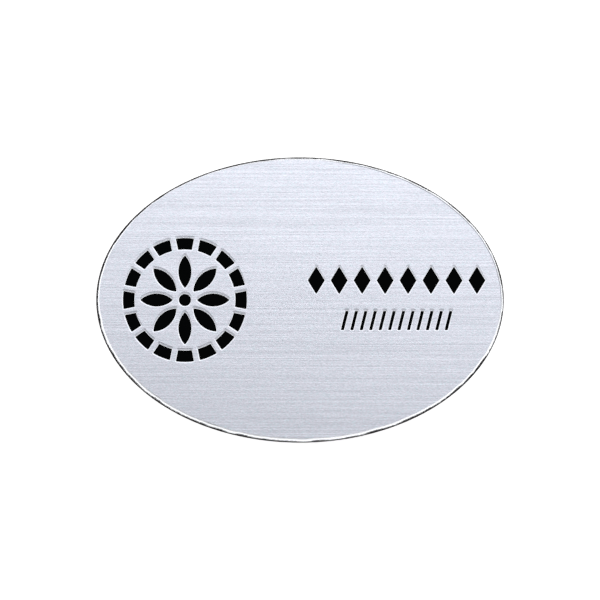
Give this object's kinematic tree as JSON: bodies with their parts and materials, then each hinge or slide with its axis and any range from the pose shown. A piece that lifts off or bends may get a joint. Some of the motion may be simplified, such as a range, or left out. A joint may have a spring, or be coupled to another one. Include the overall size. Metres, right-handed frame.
{
  "type": "oval name badge",
  "caption": "Oval name badge: a brushed silver face sheet with engraved ornament, laminated on a black plate, with a bar pin on its back.",
  "frame": {"origin": "on the surface that the badge lies on, under the centre of its oval", "axes": "+X along the badge's long axis, to the reader's right; +Y towards its upper edge as worn; +Z out of its face"},
  "size_m": [0.0636, 0.0444, 0.0069],
  "materials": {
    "brushed_silver": "satin, brushed along the badge's length",
    "black_core": "matte",
    "nickel": "bright nickel plate"
  },
  "bodies": {
    "root": {"face_sheet": "brushed_silver", "core_plate": "black_core", "pin_back": "nickel"}
  },
  "joints": []
}
